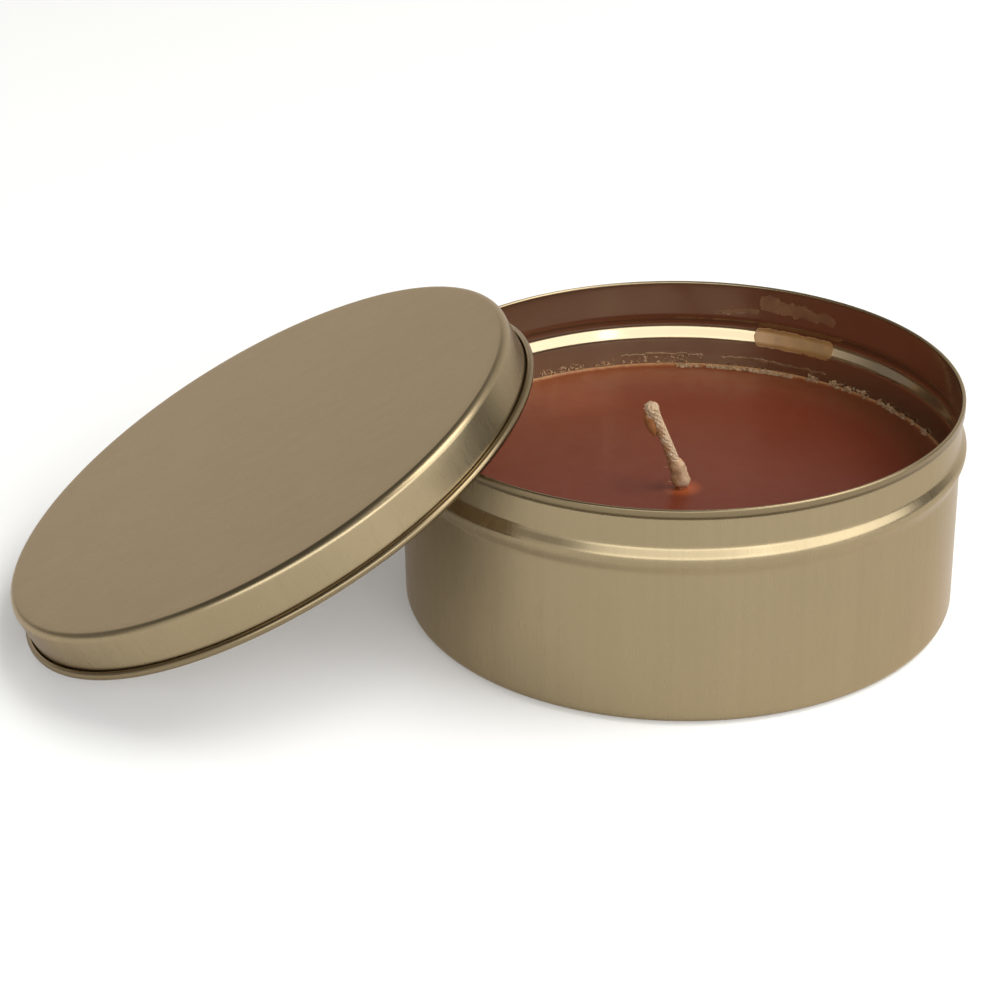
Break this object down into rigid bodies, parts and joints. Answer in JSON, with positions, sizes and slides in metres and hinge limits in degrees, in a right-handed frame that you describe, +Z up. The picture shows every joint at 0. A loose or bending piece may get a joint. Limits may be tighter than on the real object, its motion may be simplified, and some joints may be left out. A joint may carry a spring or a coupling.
{
  "type": "candle tin",
  "caption": "Round shallow metal candle tin with a beaded wall, filled with wax and a braided wick, its slip lid leaning on the rim.",
  "frame": {"origin": "centre of the tin's foot ring, on the surface it stands on", "axes": "+Z up along the tin's axis, the lid leans on the rim on the -X side, the wick is off centre towards -Y"},
  "size_m": [0.1551, 0.094, 0.0482],
  "materials": {
    "tinplate": "satin",
    "lid_tinplate": "satin",
    "wax": "satin",
    "cotton": "matte",
    "tab_steel": "satin",
    "foam": "matte"
  },
  "bodies": {
    "tin": {"tin_body": "tinplate", "wax_fill": "wax", "wick": "cotton", "wick_tab": "tab_steel", "adhesive_pad": "foam"},
    "lid": {"lid": "lid_tinplate"}
  },
  "joints": [
    {"name": "lid_lift", "type": "slide", "parent": "tin", "child": "lid", "axis": [0, 0, 1], "range_m": [0, 0.06]}
  ]
}
